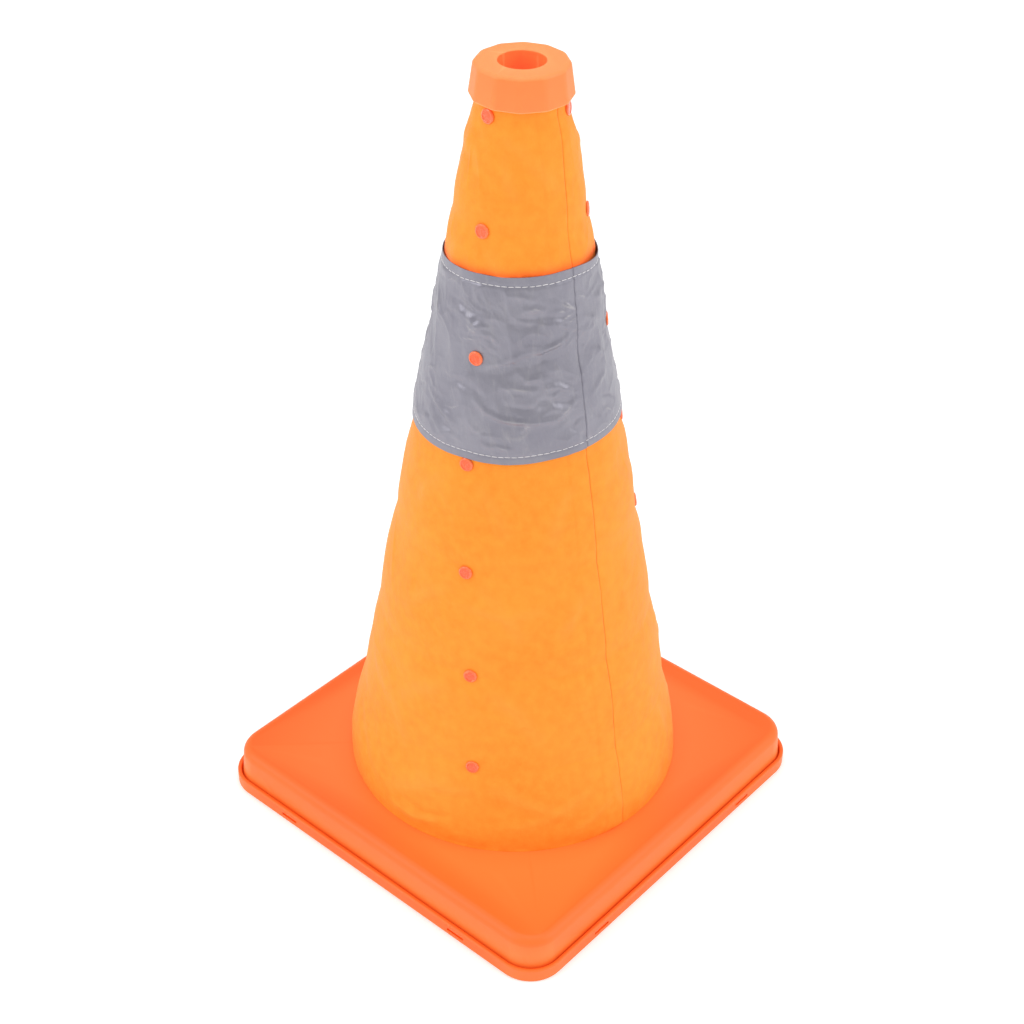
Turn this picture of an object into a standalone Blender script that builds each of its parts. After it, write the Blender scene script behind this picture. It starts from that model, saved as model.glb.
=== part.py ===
"""Collapsible traffic cone: a square two-part base, seven telescoping rings,
a riveted cloth cover with a reflective band, and a twelve-sided soft cap.

Units are metres, +Z is up and the origin is the middle of the base's underside.
Rings are numbered from the top (1) to the bottom (7).
"""
import math

import bmesh
import bpy
from mathutils import Matrix, Vector

# ---- driving dimensions ---------------------------------------------------
OBJECT_NAME = "collapsible_traffic_cone"
CONE_HEIGHT = 0.4572
BASE_SIDE = 0.250
BASE_TOP = 0.027
GAP = 0.0003

# reach of the cutting shapes past what they cut, and tolerances for picking edges
OVERCUT = 0.010
SAME_HEIGHT = 1e-6
UPRIGHT_RISE = 0.001

# telescoping rings
RING_COUNT = 7
RING_PITCH = 0.061
TOP_RING_RADIUS = 0.020
RADIUS_STEP = 0.011
DRAFT = 0.0923
RING_WALL = 0.0018
LIP_THICKNESS = 0.0020
FLANGE_THICKNESS = 0.0020
LIP_REACH = 0.0048
FLANGE_REACH = 0.0082
RIM_CHAMFER = 0.0005
RING_HEIGHT = RING_PITCH + LIP_THICKNESS + GAP + FLANGE_THICKNESS
ROUND_STEPS = 32

# rivets
RIVETS_PER_RING = 3
RIVET_DROPS = (0.0184, 0.0118, 0.0150, 0.0118, 0.0118, 0.0118, 0.0075)
RIVET_TURNS = (-93.0, -82.5, -77.0, -77.0, -72.5, -67.0, -64.0)
RIVET_HEAD_RADIUS = 0.0039
RIVET_HEAD_HEIGHT = 0.0016
RIVET_SHANK_RADIUS = 0.0018
RIVET_HOLE_RADIUS = 0.0021
RIVET_TAIL_RADIUS = 0.0028
RIVET_TAIL_HEIGHT = 0.0006
RIVET_TAIL_TAPER = 0.86
RIVET_TAIL_GAP = 0.0006
RIVET_HEAD_GAP = 0.0007
RIVET_STEPS = 8
RIVET_HOLE_STEPS = 10
RIVET_PIN_LENGTH = 0.014
RIVET_PIN_SHIFT = 0.001
# the head's dome: share of its radius, share of its height below the top
RIVET_DOME = ((0.60, 0.14), (0.92, 0.52))

# cloth cover and reflective band
CLOTH_THICKNESS = 0.0005
BAND_THICKNESS = 0.0004
BAND_TOP = 0.3625
BAND_BOTTOM = 0.2638
BAND_RIVET_ROW = 3
COVER_TOP = 0.4525

# base
SHELL_SIDE = 0.2442
SHELL_DRAFT = 0.0015
SHELL_WALL = 0.0024
SHELL_CORNER = 0.018
SHELL_EDGE_ROUND = 0.0050
SHELL_OPENING = 0.0976
SHELL_OPENING_FLOOR = 0.015
TRAY_FLOOR = 0.0024
TRAY_LIP_HEIGHT = 0.0085
TRAY_LIP_WALL = 0.0024
TRAY_CORNER = 0.021
TRAY_EDGE_ROUND = 0.0008
CORNER_SEGMENTS = 5
EDGE_SEGMENTS = 3
QUARTER_TURNS = (0.0, 90.0, 180.0, 270.0)
SLOT_OFFSET = 0.067
SLOT_WIDTH = 0.012
SLOT_HEIGHT = 0.0018
SLOT_LEVEL = 0.0040
SLOT_OVERCUT = 0.001
TAB_WIDTH = 0.0110
TAB_HEIGHT = 0.0010
TAB_ROOT = 0.0012
TAB_REACH = 0.0010
HOOK_COUNT = 6
HOOK_WIDTH = 0.008
HOOK_THICKNESS = 0.0020
HOOK_PLAY = 0.0004
HOOK_ROOT = 0.0012
HOOK_DROP = 0.0015
BARB_REACH = 0.0015
BARB_DROP = 0.0014
BARB_INSET = 0.001

# retaining ring that traps the hem of the cover and the lowest ring
RETAINER_RADIUS = 0.0964
RETAINER_FLANGE_RADIUS = 0.106
RETAINER_FLANGE_THICKNESS = 0.002
RETAINER_INNER_WALL = 0.0949
HEM_RADIUS = 0.105

# cap
CAP_SIDES = 12
CAP_HEIGHT = 0.0165
CAP_TOP_RADIUS = 0.0236
CAP_BOTTOM_RADIUS = 0.0260
CAP_TURN = 9.0
CAP_CORNER_ROUND = 0.002
CAP_TOP_ROUND = 0.0012
CAP_SEGMENTS = 2
CAP_PLATE = 0.0029
CAP_HOLE_RADIUS = 0.0118
CAP_SLEEVE_RADIUS = 0.0149
CAP_SLEEVE_BOTTOM = 0.446
CAP_CAVITY_TOP_RADIUS = 0.0213
CAP_CAVITY_BOTTOM_RADIUS = 0.0227

AXIS_MARK_SIZE = 0.02

# material slot: linear colour, roughness
FINISHES = {
    "base_plastic": ((1.0, 0.190, 0.025), 0.50),
    "ring_plastic": ((0.95, 0.150, 0.020), 0.50),
    "cover_cloth": ((1.0, 0.330, 0.040), 0.70),
    "cap_plastic": ((1.0, 0.270, 0.070), 0.45),
    "rivet_plastic": ((1.0, 0.150, 0.050), 0.30),
    "reflective_band": ((0.30, 0.29, 0.33), 0.40),
}


# ---- helpers ----------------------------------------------------------------
def clear_scene():
    for item in list(bpy.data.objects):
        bpy.data.objects.remove(item, do_unlink=True)


def new_collection(name):
    collection = bpy.data.collections.new(name)
    bpy.context.scene.collection.children.link(collection)
    return collection


def make_material(name, colour, roughness):
    material = bpy.data.materials.new(name)
    material.use_nodes = True
    shader = material.node_tree.nodes["Principled BSDF"]
    shader.inputs["Base Color"].default_value = (*colour, 1.0)
    shader.inputs["Roughness"].default_value = roughness
    return material


def add_object(name, mesh, collection, material=None, parent=None):
    item = bpy.data.objects.new(name, mesh)
    collection.objects.link(item)
    if material is not None:
        mesh.materials.append(material)
    if parent is not None:
        item.parent = parent
        item.matrix_parent_inverse = Matrix.Translation(-parent.location)
    return item


def mark_as_cutter(item):
    item.hide_render = True
    item.display_type = "WIRE"
    return item


def profile_mesh(name, points, closed=True):
    """Edges through (radius, height) points, in the XZ plane at +X."""
    mesh = bpy.data.meshes.new(name)
    shape = bmesh.new()
    corners = [shape.verts.new((radius, 0.0, height)) for radius, height in points]
    for start, end in zip(corners, corners[1:]):
        shape.edges.new((start, end))
    if closed:
        shape.edges.new((corners[-1], corners[0]))
    shape.to_mesh(mesh)
    shape.free()
    return mesh


def add_screw(item, steps):
    screw = item.modifiers.new("turned", "SCREW")
    screw.axis = "Z"
    screw.angle = math.tau
    screw.steps = steps
    screw.render_steps = steps
    screw.use_merge_vertices = True
    screw.merge_threshold = 0.00001
    screw.use_smooth_shade = True
    return item


def turned(name, points, collection, material=None, parent=None, steps=ROUND_STEPS):
    closed = points[0][0] > 0.0 or points[-1][0] > 0.0
    item = add_object(name, profile_mesh(name, points, closed), collection, material, parent)
    return add_screw(item, steps)


def add_boolean(item, other, operation):
    boolean = item.modifiers.new(operation.lower() + "_" + other.name, "BOOLEAN")
    boolean.operation = operation
    boolean.solver = "EXACT"
    boolean.object = other


def box_into(shape, low, high, turn=Matrix.Identity(4)):
    """Adds a box between two corners to a bmesh, turned about the origin."""
    low = Vector(low)
    high = Vector(high)
    middle = (low + high) / 2.0
    size = high - low
    place = turn @ Matrix.Translation(middle) @ Matrix.Diagonal((*size, 1.0))
    bmesh.ops.create_cube(shape, size=1.0, matrix=place)


def boxes(name, corner_pairs, collection, turns=(0.0,)):
    """One mesh of separate boxes, each pair of corners repeated at every turn."""
    mesh = bpy.data.meshes.new(name)
    shape = bmesh.new()
    for turn in turns:
        for low, high in corner_pairs:
            box_into(shape, low, high, Matrix.Rotation(math.radians(turn), 4, "Z"))
    shape.to_mesh(mesh)
    shape.free()
    return mark_as_cutter(add_object(name, mesh, collection))


def upright_edges(shape):
    return [edge for edge in shape.edges
            if abs(edge.verts[0].co.z - edge.verts[1].co.z) > UPRIGHT_RISE]


def edges_at(shape, height):
    return [edge for edge in shape.edges
            if all(abs(vertex.co.z - height) < SAME_HEIGHT for vertex in edge.verts)]


def rounded_box_mesh(name, side, low, high, corner, edge_round, draft=0.0, bottom_round=0.0):
    """A square box with round upright corners and a round top edge."""
    mesh = bpy.data.meshes.new(name)
    shape = bmesh.new()
    box_into(shape, (-side / 2.0, -side / 2.0, low), (side / 2.0, side / 2.0, high))
    shrink = 1.0 - 2.0 * draft / side
    for vertex in shape.verts:
        if abs(vertex.co.z - high) < SAME_HEIGHT:
            vertex.co.x *= shrink
            vertex.co.y *= shrink
    bmesh.ops.bevel(shape, geom=upright_edges(shape), offset=corner, offset_type="OFFSET",
                    segments=CORNER_SEGMENTS, profile=0.5, affect="EDGES")
    if edge_round > 0.0:
        bmesh.ops.bevel(shape, geom=edges_at(shape, high), offset=edge_round,
                        offset_type="OFFSET", segments=EDGE_SEGMENTS, profile=0.5,
                        affect="EDGES")
    if bottom_round > 0.0:
        bmesh.ops.bevel(shape, geom=edges_at(shape, low), offset=bottom_round,
                        offset_type="OFFSET", segments=1, profile=0.5, affect="EDGES")
    bmesh.ops.recalc_face_normals(shape, faces=shape.faces[:])
    shape.to_mesh(mesh)
    shape.free()
    return mesh


# ---- where things are -------------------------------------------------------
def rim_radius(ring):
    return TOP_RING_RADIUS + RADIUS_STEP * (ring - 1)


def rim_height(ring):
    return BASE_TOP + RING_PITCH * (RING_COUNT + 1 - ring)


def rivet_height(ring):
    return rim_height(ring) - RIVET_DROPS[ring - 1]


def rivet_wall_radius(ring):
    return rim_radius(ring) + DRAFT * RIVET_DROPS[ring - 1]


def rivet_angles(ring):
    return [math.radians(RIVET_TURNS[ring - 1] + 360.0 / RIVETS_PER_RING * place)
            for place in range(RIVETS_PER_RING)]


def drape_points(ring):
    """The taut line from one ring's rivets over the next rim to the next rivets."""
    return [(rivet_wall_radius(ring), rivet_height(ring)),
            (rim_radius(ring + 1), rim_height(ring + 1)),
            (rivet_wall_radius(ring + 1), rivet_height(ring + 1))]


def radius_on_line(start, end, height):
    share = (start[1] - height) / (start[1] - end[1])
    return start[0] + (end[0] - start[0]) * share


def clipped_line(points, top, bottom):
    """The stretch of a falling line between two heights."""
    kept = []
    for start, end in zip(points, points[1:]):
        high = min(top, start[1])
        low = max(bottom, end[1])
        if high - low < SAME_HEIGHT:
            continue
        if not kept:
            kept.append((radius_on_line(start, end, high), high))
        kept.append((radius_on_line(start, end, low), low))
    return kept


def skin_profile(line, inner_offset, thickness):
    """A closed profile on both sides of a falling line: outside down, inside up."""
    outside = [(radius + inner_offset + thickness, height) for radius, height in line]
    inside = [(radius + inner_offset, height) for radius, height in reversed(line)]
    return outside + inside


# ---- telescoping rings ------------------------------------------------------
def build_ring(ring, parts, material, holder, row_cutter):
    radius = rim_radius(ring)
    top = rim_height(ring)
    wall_end = RING_HEIGHT - FLANGE_THICKNESS
    outer_end = radius + DRAFT * wall_end
    inner_end = radius + DRAFT * RING_HEIGHT - RING_WALL
    points = [
        (radius - LIP_REACH, top),
        (radius - RIM_CHAMFER, top),
        (radius, top - RIM_CHAMFER),
        (outer_end, top - wall_end),
        (radius + FLANGE_REACH, top - wall_end),
        (radius + FLANGE_REACH, top - RING_HEIGHT),
        (inner_end, top - RING_HEIGHT),
        (radius - RING_WALL + DRAFT * LIP_THICKNESS, top - LIP_THICKNESS),
        (radius - LIP_REACH, top - LIP_THICKNESS),
    ]
    item = turned("ring_%d" % ring, points, parts, material, holder)
    add_boolean(item, row_cutter, "DIFFERENCE")


def build_row_cutter(ring, cutters):
    """Three round pins on the axes of one ring's rivets."""
    name = "rivet_holes_%d" % ring
    mesh = bpy.data.meshes.new(name)
    shape = bmesh.new()
    shift = Matrix.Translation((0.0, 0.0, RIVET_PIN_SHIFT))
    for angle in rivet_angles(ring):
        bmesh.ops.create_cone(shape, cap_ends=True, segments=RIVET_HOLE_STEPS,
                              radius1=RIVET_HOLE_RADIUS, radius2=RIVET_HOLE_RADIUS,
                              depth=RIVET_PIN_LENGTH, matrix=rivet_matrix(ring, angle) @ shift)
    shape.to_mesh(mesh)
    shape.free()
    return mark_as_cutter(add_object(name, mesh, cutters))


# ---- rivets -----------------------------------------------------------------
def rivet_matrix(ring, angle):
    """Origin on the ring's outer wall, +Z square to the wall and outwards."""
    radius = rivet_wall_radius(ring)
    place = Vector((radius * math.cos(angle), radius * math.sin(angle), rivet_height(ring)))
    tilt = math.atan(DRAFT)
    turn = Matrix.Rotation(angle, 4, "Z") @ Matrix.Rotation(math.pi / 2.0 - tilt, 4, "Y")
    return Matrix.Translation(place) @ turn


def rivet_profile(ring):
    under_head = GAP + CLOTH_THICKNESS + RIVET_HEAD_GAP
    if ring == BAND_RIVET_ROW:
        under_head += GAP + BAND_THICKNESS
    top = under_head + RIVET_HEAD_HEIGHT
    over_tail = -RING_WALL - RIVET_TAIL_GAP
    tail_end = over_tail - RIVET_TAIL_HEIGHT
    dome = [(RIVET_HEAD_RADIUS * across, top - RIVET_HEAD_HEIGHT * down)
            for across, down in RIVET_DOME]
    return [
        (0.0, top),
        *dome,
        (RIVET_HEAD_RADIUS, under_head),
        (RIVET_SHANK_RADIUS, under_head),
        (RIVET_SHANK_RADIUS, over_tail),
        (RIVET_TAIL_RADIUS, over_tail),
        (RIVET_TAIL_RADIUS * RIVET_TAIL_TAPER, tail_end),
        (0.0, tail_end),
    ]


def build_rivets(ring, parts, material, holder):
    for letter, angle in zip("abc", rivet_angles(ring)):
        name = "rivet_%d_%s" % (ring, letter)
        item = turned(name, rivet_profile(ring), parts, material, holder, RIVET_STEPS)
        item.matrix_basis = rivet_matrix(ring, angle)


# ---- cloth cover and band ---------------------------------------------------
def build_cover_top(parts, material, holder, row_cutters):
    """The collar of cloth that the cap grips, down to the first rivets."""
    bottom = rivet_height(1) + GAP / 2.0
    line = [(rim_radius(1) + DRAFT * (rim_height(1) - COVER_TOP), COVER_TOP),
            (rivet_wall_radius(1) - DRAFT * GAP / 2.0, bottom)]
    item = turned("cover_top", skin_profile(line, GAP, CLOTH_THICKNESS), parts, material, holder)
    add_boolean(item, row_cutters[1], "DIFFERENCE")


def build_cover_stretch(ring, parts, material, holder, row_cutters):
    """Cloth from one ring's rivets to the rivets of the ring below."""
    top = rivet_height(ring) - GAP / 2.0
    bottom = rivet_height(ring + 1) + GAP / 2.0
    line = clipped_line(drape_points(ring), top, bottom)
    profile = skin_profile(line, GAP, CLOTH_THICKNESS)
    item = turned("cover_stretch_%d" % ring, profile, parts, material, holder)
    add_boolean(item, row_cutters[ring], "DIFFERENCE")
    add_boolean(item, row_cutters[ring + 1], "DIFFERENCE")


def build_cover_hem(parts, material, holder, row_cutters):
    """Cloth from the lowest rivets through the base's opening, with its hem spread flat."""
    top = rivet_height(RING_COUNT) - GAP / 2.0
    start = (rivet_wall_radius(RING_COUNT) + DRAFT * GAP / 2.0 + GAP, top)
    inner = RETAINER_RADIUS + GAP
    outer = inner + CLOTH_THICKNESS
    hem_top = BASE_TOP - SHELL_WALL - GAP
    hem_bottom = hem_top - CLOTH_THICKNESS
    points = [
        (start[0] + CLOTH_THICKNESS, top),
        (outer, BASE_TOP + GAP),
        (outer, hem_top),
        (HEM_RADIUS, hem_top),
        (HEM_RADIUS, hem_bottom),
        (inner, hem_bottom),
        (inner, BASE_TOP + GAP),
        start,
    ]
    item = turned("cover_hem", points, parts, material, holder)
    add_boolean(item, row_cutters[RING_COUNT], "DIFFERENCE")


def build_band(parts, material, holders, row_cutters):
    """The reflective band, parted at the rivets that pass through it."""
    offset = GAP + CLOTH_THICKNESS + GAP
    row = BAND_RIVET_ROW
    middle = rivet_height(row)
    stretches = (("band_upper", row - 1, BAND_TOP, middle + GAP / 2.0),
                 ("band_lower", row, middle - GAP / 2.0, BAND_BOTTOM))
    for name, ring, top, bottom in stretches:
        line = clipped_line(drape_points(ring), top, bottom)
        profile = skin_profile(line, offset, BAND_THICKNESS)
        item = turned(name, profile, parts, material, holders[ring + 1])
        add_boolean(item, row_cutters[row], "DIFFERENCE")


# ---- base -------------------------------------------------------------------
def build_base_shell(parts, cutters, material):
    low = TRAY_FLOOR + GAP
    mesh = rounded_box_mesh("base_shell", SHELL_SIDE, low, BASE_TOP, SHELL_CORNER,
                            SHELL_EDGE_ROUND, SHELL_DRAFT)
    shell = add_object("base_shell", mesh, parts, material)
    hollow_mesh = rounded_box_mesh("shell_hollow", SHELL_SIDE - 2.0 * SHELL_WALL,
                                   low - OVERCUT, BASE_TOP - SHELL_WALL,
                                   SHELL_CORNER - SHELL_WALL,
                                   SHELL_EDGE_ROUND - SHELL_WALL, SHELL_DRAFT)
    hollow = mark_as_cutter(add_object("shell_hollow", hollow_mesh, cutters))
    add_boolean(shell, hollow, "DIFFERENCE")
    opening = [(0.0, BASE_TOP + OVERCUT), (SHELL_OPENING, BASE_TOP + OVERCUT),
               (SHELL_OPENING, SHELL_OPENING_FLOOR), (0.0, SHELL_OPENING_FLOOR)]
    add_boolean(shell, mark_as_cutter(turned("shell_opening", opening, cutters)), "DIFFERENCE")
    inside = -SHELL_SIDE / 2.0 + TAB_ROOT
    outside = -BASE_SIDE / 2.0 + TRAY_LIP_WALL - TAB_REACH
    tab_pairs = []
    for offset in (-SLOT_OFFSET, SLOT_OFFSET):
        tab_pairs.append(((offset - TAB_WIDTH / 2.0, outside, SLOT_LEVEL - TAB_HEIGHT / 2.0),
                          (offset + TAB_WIDTH / 2.0, inside, SLOT_LEVEL + TAB_HEIGHT / 2.0)))
    add_boolean(shell, boxes("snap_tabs", tab_pairs, cutters, QUARTER_TURNS), "UNION")
    flange_bottom = retainer_flange_top() - RETAINER_FLANGE_THICKNESS
    post_in = RETAINER_FLANGE_RADIUS + HOOK_PLAY
    post_out = post_in + HOOK_THICKNESS
    barb_in = RETAINER_FLANGE_RADIUS - BARB_REACH
    turns = [360.0 / HOOK_COUNT * place for place in range(HOOK_COUNT)]
    half = HOOK_WIDTH / 2.0
    posts = [((post_in, -half, flange_bottom - HOOK_DROP),
              (post_out, half, BASE_TOP - HOOK_ROOT))]
    barbs = [((barb_in, -half + BARB_INSET, flange_bottom - BARB_DROP),
              (post_out - HOOK_PLAY, half - BARB_INSET, flange_bottom - GAP))]
    add_boolean(shell, boxes("hook_posts", posts, cutters, turns), "UNION")
    add_boolean(shell, boxes("hook_barbs", barbs, cutters, turns), "UNION")


def build_base_tray(parts, cutters, material):
    mesh = rounded_box_mesh("base_tray", BASE_SIDE, 0.0, TRAY_LIP_HEIGHT, TRAY_CORNER,
                            TRAY_EDGE_ROUND, bottom_round=TRAY_EDGE_ROUND)
    tray = add_object("base_tray", mesh, parts, material)
    inner_side = BASE_SIDE - 2.0 * TRAY_LIP_WALL
    hollow_mesh = rounded_box_mesh("tray_hollow", inner_side, TRAY_FLOOR,
                                   TRAY_LIP_HEIGHT + OVERCUT, TRAY_CORNER - TRAY_LIP_WALL, 0.0)
    hollow = mark_as_cutter(add_object("tray_hollow", hollow_mesh, cutters))
    add_boolean(tray, hollow, "DIFFERENCE")
    outer = -BASE_SIDE / 2.0 - SLOT_OVERCUT
    inner = -BASE_SIDE / 2.0 + TRAY_LIP_WALL + SLOT_OVERCUT
    pairs = []
    for offset in (-SLOT_OFFSET, SLOT_OFFSET):
        pairs.append(((offset - SLOT_WIDTH / 2.0, outer, SLOT_LEVEL - SLOT_HEIGHT / 2.0),
                      (offset + SLOT_WIDTH / 2.0, inner, SLOT_LEVEL + SLOT_HEIGHT / 2.0)))
    add_boolean(tray, boxes("tray_slots", pairs, cutters, QUARTER_TURNS), "DIFFERENCE")


def retainer_flange_top():
    return BASE_TOP - SHELL_WALL - GAP - CLOTH_THICKNESS - GAP


def build_retainer(parts, material):
    """Stops the lowest ring like a rim above it would, and clamps the hem."""
    lip_radius = rim_radius(RING_COUNT + 1) - LIP_REACH
    lip_bottom = BASE_TOP - LIP_THICKNESS
    flange_top = retainer_flange_top()
    flange_bottom = flange_top - RETAINER_FLANGE_THICKNESS
    points = [
        (lip_radius, BASE_TOP),
        (RETAINER_RADIUS - RIM_CHAMFER, BASE_TOP),
        (RETAINER_RADIUS, BASE_TOP - RIM_CHAMFER),
        (RETAINER_RADIUS, flange_top),
        (RETAINER_FLANGE_RADIUS, flange_top),
        (RETAINER_FLANGE_RADIUS, flange_bottom),
        (RETAINER_INNER_WALL, flange_bottom),
        (RETAINER_INNER_WALL, lip_bottom),
        (lip_radius, lip_bottom),
    ]
    turned("retaining_ring", points, parts, material)


# ---- cap --------------------------------------------------------------------
def build_cap(parts, cutters, material, holder):
    top = CONE_HEIGHT
    bottom = top - CAP_HEIGHT
    mesh = bpy.data.meshes.new("cap")
    shape = bmesh.new()
    place = Matrix.Translation((0.0, 0.0, (top + bottom) / 2.0))
    place = place @ Matrix.Rotation(math.radians(CAP_TURN), 4, "Z")
    bmesh.ops.create_cone(shape, cap_ends=True, segments=CAP_SIDES, radius1=CAP_BOTTOM_RADIUS,
                          radius2=CAP_TOP_RADIUS, depth=CAP_HEIGHT, matrix=place)
    bmesh.ops.bevel(shape, geom=upright_edges(shape), offset=CAP_CORNER_ROUND,
                    offset_type="OFFSET", segments=CAP_SEGMENTS, profile=0.5, affect="EDGES")
    bmesh.ops.bevel(shape, geom=edges_at(shape, top), offset=CAP_TOP_ROUND,
                    offset_type="OFFSET", segments=CAP_SEGMENTS, profile=0.5, affect="EDGES")
    bmesh.ops.recalc_face_normals(shape, faces=shape.faces[:])
    shape.to_mesh(mesh)
    shape.free()
    cap = add_object("cap", mesh, parts, material, holder)
    cavity_top = top - CAP_PLATE
    cavity = [
        (0.0, CAP_SLEEVE_BOTTOM),
        (CAP_SLEEVE_RADIUS, CAP_SLEEVE_BOTTOM),
        (CAP_SLEEVE_RADIUS, cavity_top),
        (CAP_CAVITY_TOP_RADIUS, cavity_top),
        (CAP_CAVITY_BOTTOM_RADIUS, bottom),
        (CAP_CAVITY_BOTTOM_RADIUS, bottom - OVERCUT),
        (0.0, bottom - OVERCUT),
    ]
    add_boolean(cap, mark_as_cutter(turned("cap_cavity", cavity, cutters)), "DIFFERENCE")
    hole = [
        (0.0, top + OVERCUT),
        (CAP_HOLE_RADIUS, top + OVERCUT),
        (CAP_HOLE_RADIUS, CAP_SLEEVE_BOTTOM - OVERCUT),
        (0.0, CAP_SLEEVE_BOTTOM - OVERCUT),
    ]
    add_boolean(cap, mark_as_cutter(turned("cap_hole", hole, cutters)), "DIFFERENCE")


# ---- assembly ---------------------------------------------------------------
def build_holders(parts):
    """An empty on the cone's axis at each ring's rim: each ring slides along it."""
    holders = {}
    for ring in range(1, RING_COUNT + 1):
        holder = bpy.data.objects.new("slide_axis_%d" % ring, None)
        holder.empty_display_size = AXIS_MARK_SIZE
        holder.location = (0.0, 0.0, rim_height(ring))
        parts.objects.link(holder)
        holders[ring] = holder
    return holders


def main():
    clear_scene()
    parts = new_collection(OBJECT_NAME)
    cutters = new_collection("cutters")
    finish = {name: make_material(name, colour, roughness)
              for name, (colour, roughness) in FINISHES.items()}
    holders = build_holders(parts)
    rings = range(1, RING_COUNT + 1)
    row_cutters = {ring: build_row_cutter(ring, cutters) for ring in rings}
    build_base_tray(parts, cutters, finish["base_plastic"])
    build_base_shell(parts, cutters, finish["base_plastic"])
    build_retainer(parts, finish["ring_plastic"])
    for ring in rings:
        build_ring(ring, parts, finish["ring_plastic"], holders[ring], row_cutters[ring])
        build_rivets(ring, parts, finish["rivet_plastic"], holders[ring])
    build_cover_top(parts, finish["cover_cloth"], holders[1], row_cutters)
    for ring in range(1, RING_COUNT):
        build_cover_stretch(ring, parts, finish["cover_cloth"], holders[ring + 1], row_cutters)
    build_cover_hem(parts, finish["cover_cloth"], None, row_cutters)
    build_band(parts, finish["reflective_band"], holders, row_cutters)
    build_cap(parts, cutters, finish["cap_plastic"], holders[1])


main()
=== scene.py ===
"""Looks of a pop-up safety cone: riveted cloth cover, reflective band, cap, rings and base.

Metres, +Z up, origin in the middle of the base's underside. Rings count from the top.
"""
import contextlib
import math

import bmesh
import bpy
import numpy as np
from mathutils import Matrix, Vector


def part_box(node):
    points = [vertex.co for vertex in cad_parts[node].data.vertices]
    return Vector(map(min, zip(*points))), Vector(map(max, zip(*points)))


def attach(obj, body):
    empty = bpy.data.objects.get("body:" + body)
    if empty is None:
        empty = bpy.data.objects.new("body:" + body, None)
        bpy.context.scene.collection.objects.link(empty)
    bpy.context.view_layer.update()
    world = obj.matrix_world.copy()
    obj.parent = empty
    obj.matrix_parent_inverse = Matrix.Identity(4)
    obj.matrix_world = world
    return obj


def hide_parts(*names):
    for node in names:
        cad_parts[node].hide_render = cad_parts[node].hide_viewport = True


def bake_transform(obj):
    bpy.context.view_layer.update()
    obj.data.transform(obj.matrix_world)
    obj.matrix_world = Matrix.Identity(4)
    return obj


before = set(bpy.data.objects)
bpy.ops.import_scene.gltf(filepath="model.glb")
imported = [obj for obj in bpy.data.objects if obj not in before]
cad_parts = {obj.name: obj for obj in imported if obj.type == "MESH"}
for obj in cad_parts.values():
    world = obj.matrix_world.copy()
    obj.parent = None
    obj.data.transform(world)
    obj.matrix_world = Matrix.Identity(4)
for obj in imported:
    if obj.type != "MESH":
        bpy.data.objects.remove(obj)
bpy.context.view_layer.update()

# ---- sizes ----
RING_COUNT = 7
DRAFT = 0.0923
RING_WALL = 0.0019
LIP_REACH = 0.0048
FLANGE_REACH = 0.0082
FINE_STEPS = 96

HEAD_UNDER = 0.00095
HEAD_RADIUS = 0.0039
HEAD_HEIGHT = 0.0012
CAD_HEAD_TOP = 0.0031
BAND_LIFT = 0.0007
BAND_ROW = 3
TAIL_START = 0.0024
TAIL_HEIGHT = 0.0006
TAIL_FLARE = 1.55
SHANK_RADIUS = 0.0018
RIVET_HOLE_RADIUS = 0.0021

CLOTH_MIDDLE = 0.00055
CLOTH_THICK = 0.0005
BAND_MIDDLE = 0.00130
BAND_THICK = 0.0004
ROW_STEP = 0.0012
BAND_ROW_STEP = 0.0008
COLUMNS = 480
UPPER_STITCHES = 0.0048
LOWER_STITCHES = 0.0040
STITCH_PITCH = 0.0033
STITCH_FILL = 0.95
STITCH_WANDER = 0.00010
THREAD_RADII = (0.00018, 0.00020)
HEM_LEVEL = 0.02405
HEM_SPREAD = 0.0081

BAND_EDGE = 0.0040
COVER_ALLOWANCE = 0.0115
BAND_ALLOWANCE = 0.0065
SEAM_STEP = 0.00028
SEAM_DEPTH = 0.00045
FLARE = 0.0018
FLARE_DEGREES = 20.0
FLARE_WIDTH = 0.36
# reach of the painted shadow on the cloth above the band's top edge
PAINTED_SHADOW_HEIGHT = 0.0028

TRAY_LIP = 0.0024
TRAY_CORNER = 0.0210
TRAY_DEPTH = 0.0061
TRAY_EDGE = 0.0008
SHELL_SIDE = 0.2442
SHELL_WALL = 0.0024
SHELL_CORNER = 0.0182
SHELL_EDGE = 0.0052
SHELL_DRAFT = 0.0015
OPENING_RADIUS = 0.0976
CLAMP_RADIUS = 0.0964
TAB_PLACES = (-0.067, 0.067)
TAB_HALF = 0.0055
SLOT_HALF = 0.0060
HOOKS = 6

CAP_SIDES = 12
CAP_TURN = 9.0
CAP_FOOT_RADIUS = 0.0260
CAP_TOP_RADIUS = 0.0236
CAP_TOP_THICK = 0.0029
CAP_HOLE_RADIUS = 0.0118
CAP_SLEEVE_RADIUS = 0.0149


def rim_of(ring):
    """Radius and height of a ring's rim."""
    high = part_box("ring_%d" % ring)[1]
    return high.x - FLANGE_REACH, high.z


def rivet_seat(ring, letter):
    """Where a rivet's axis meets the ring's wall, and the way that the head faces."""
    head_top = CAD_HEAD_TOP + (BAND_LIFT if ring == BAND_ROW else 0.0)
    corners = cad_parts["rivet_%d_%s" % (ring, letter)].data.vertices
    pole = max((v.co for v in corners), key=lambda co: co.x ** 2 + co.y ** 2)
    angle = math.atan2(pole.y, pole.x)
    tilt = math.atan(DRAFT)
    facing = Vector((math.cos(angle) * math.cos(tilt), math.sin(angle) * math.cos(tilt),
                     math.sin(tilt)))
    return pole - facing * head_top, facing


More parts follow.
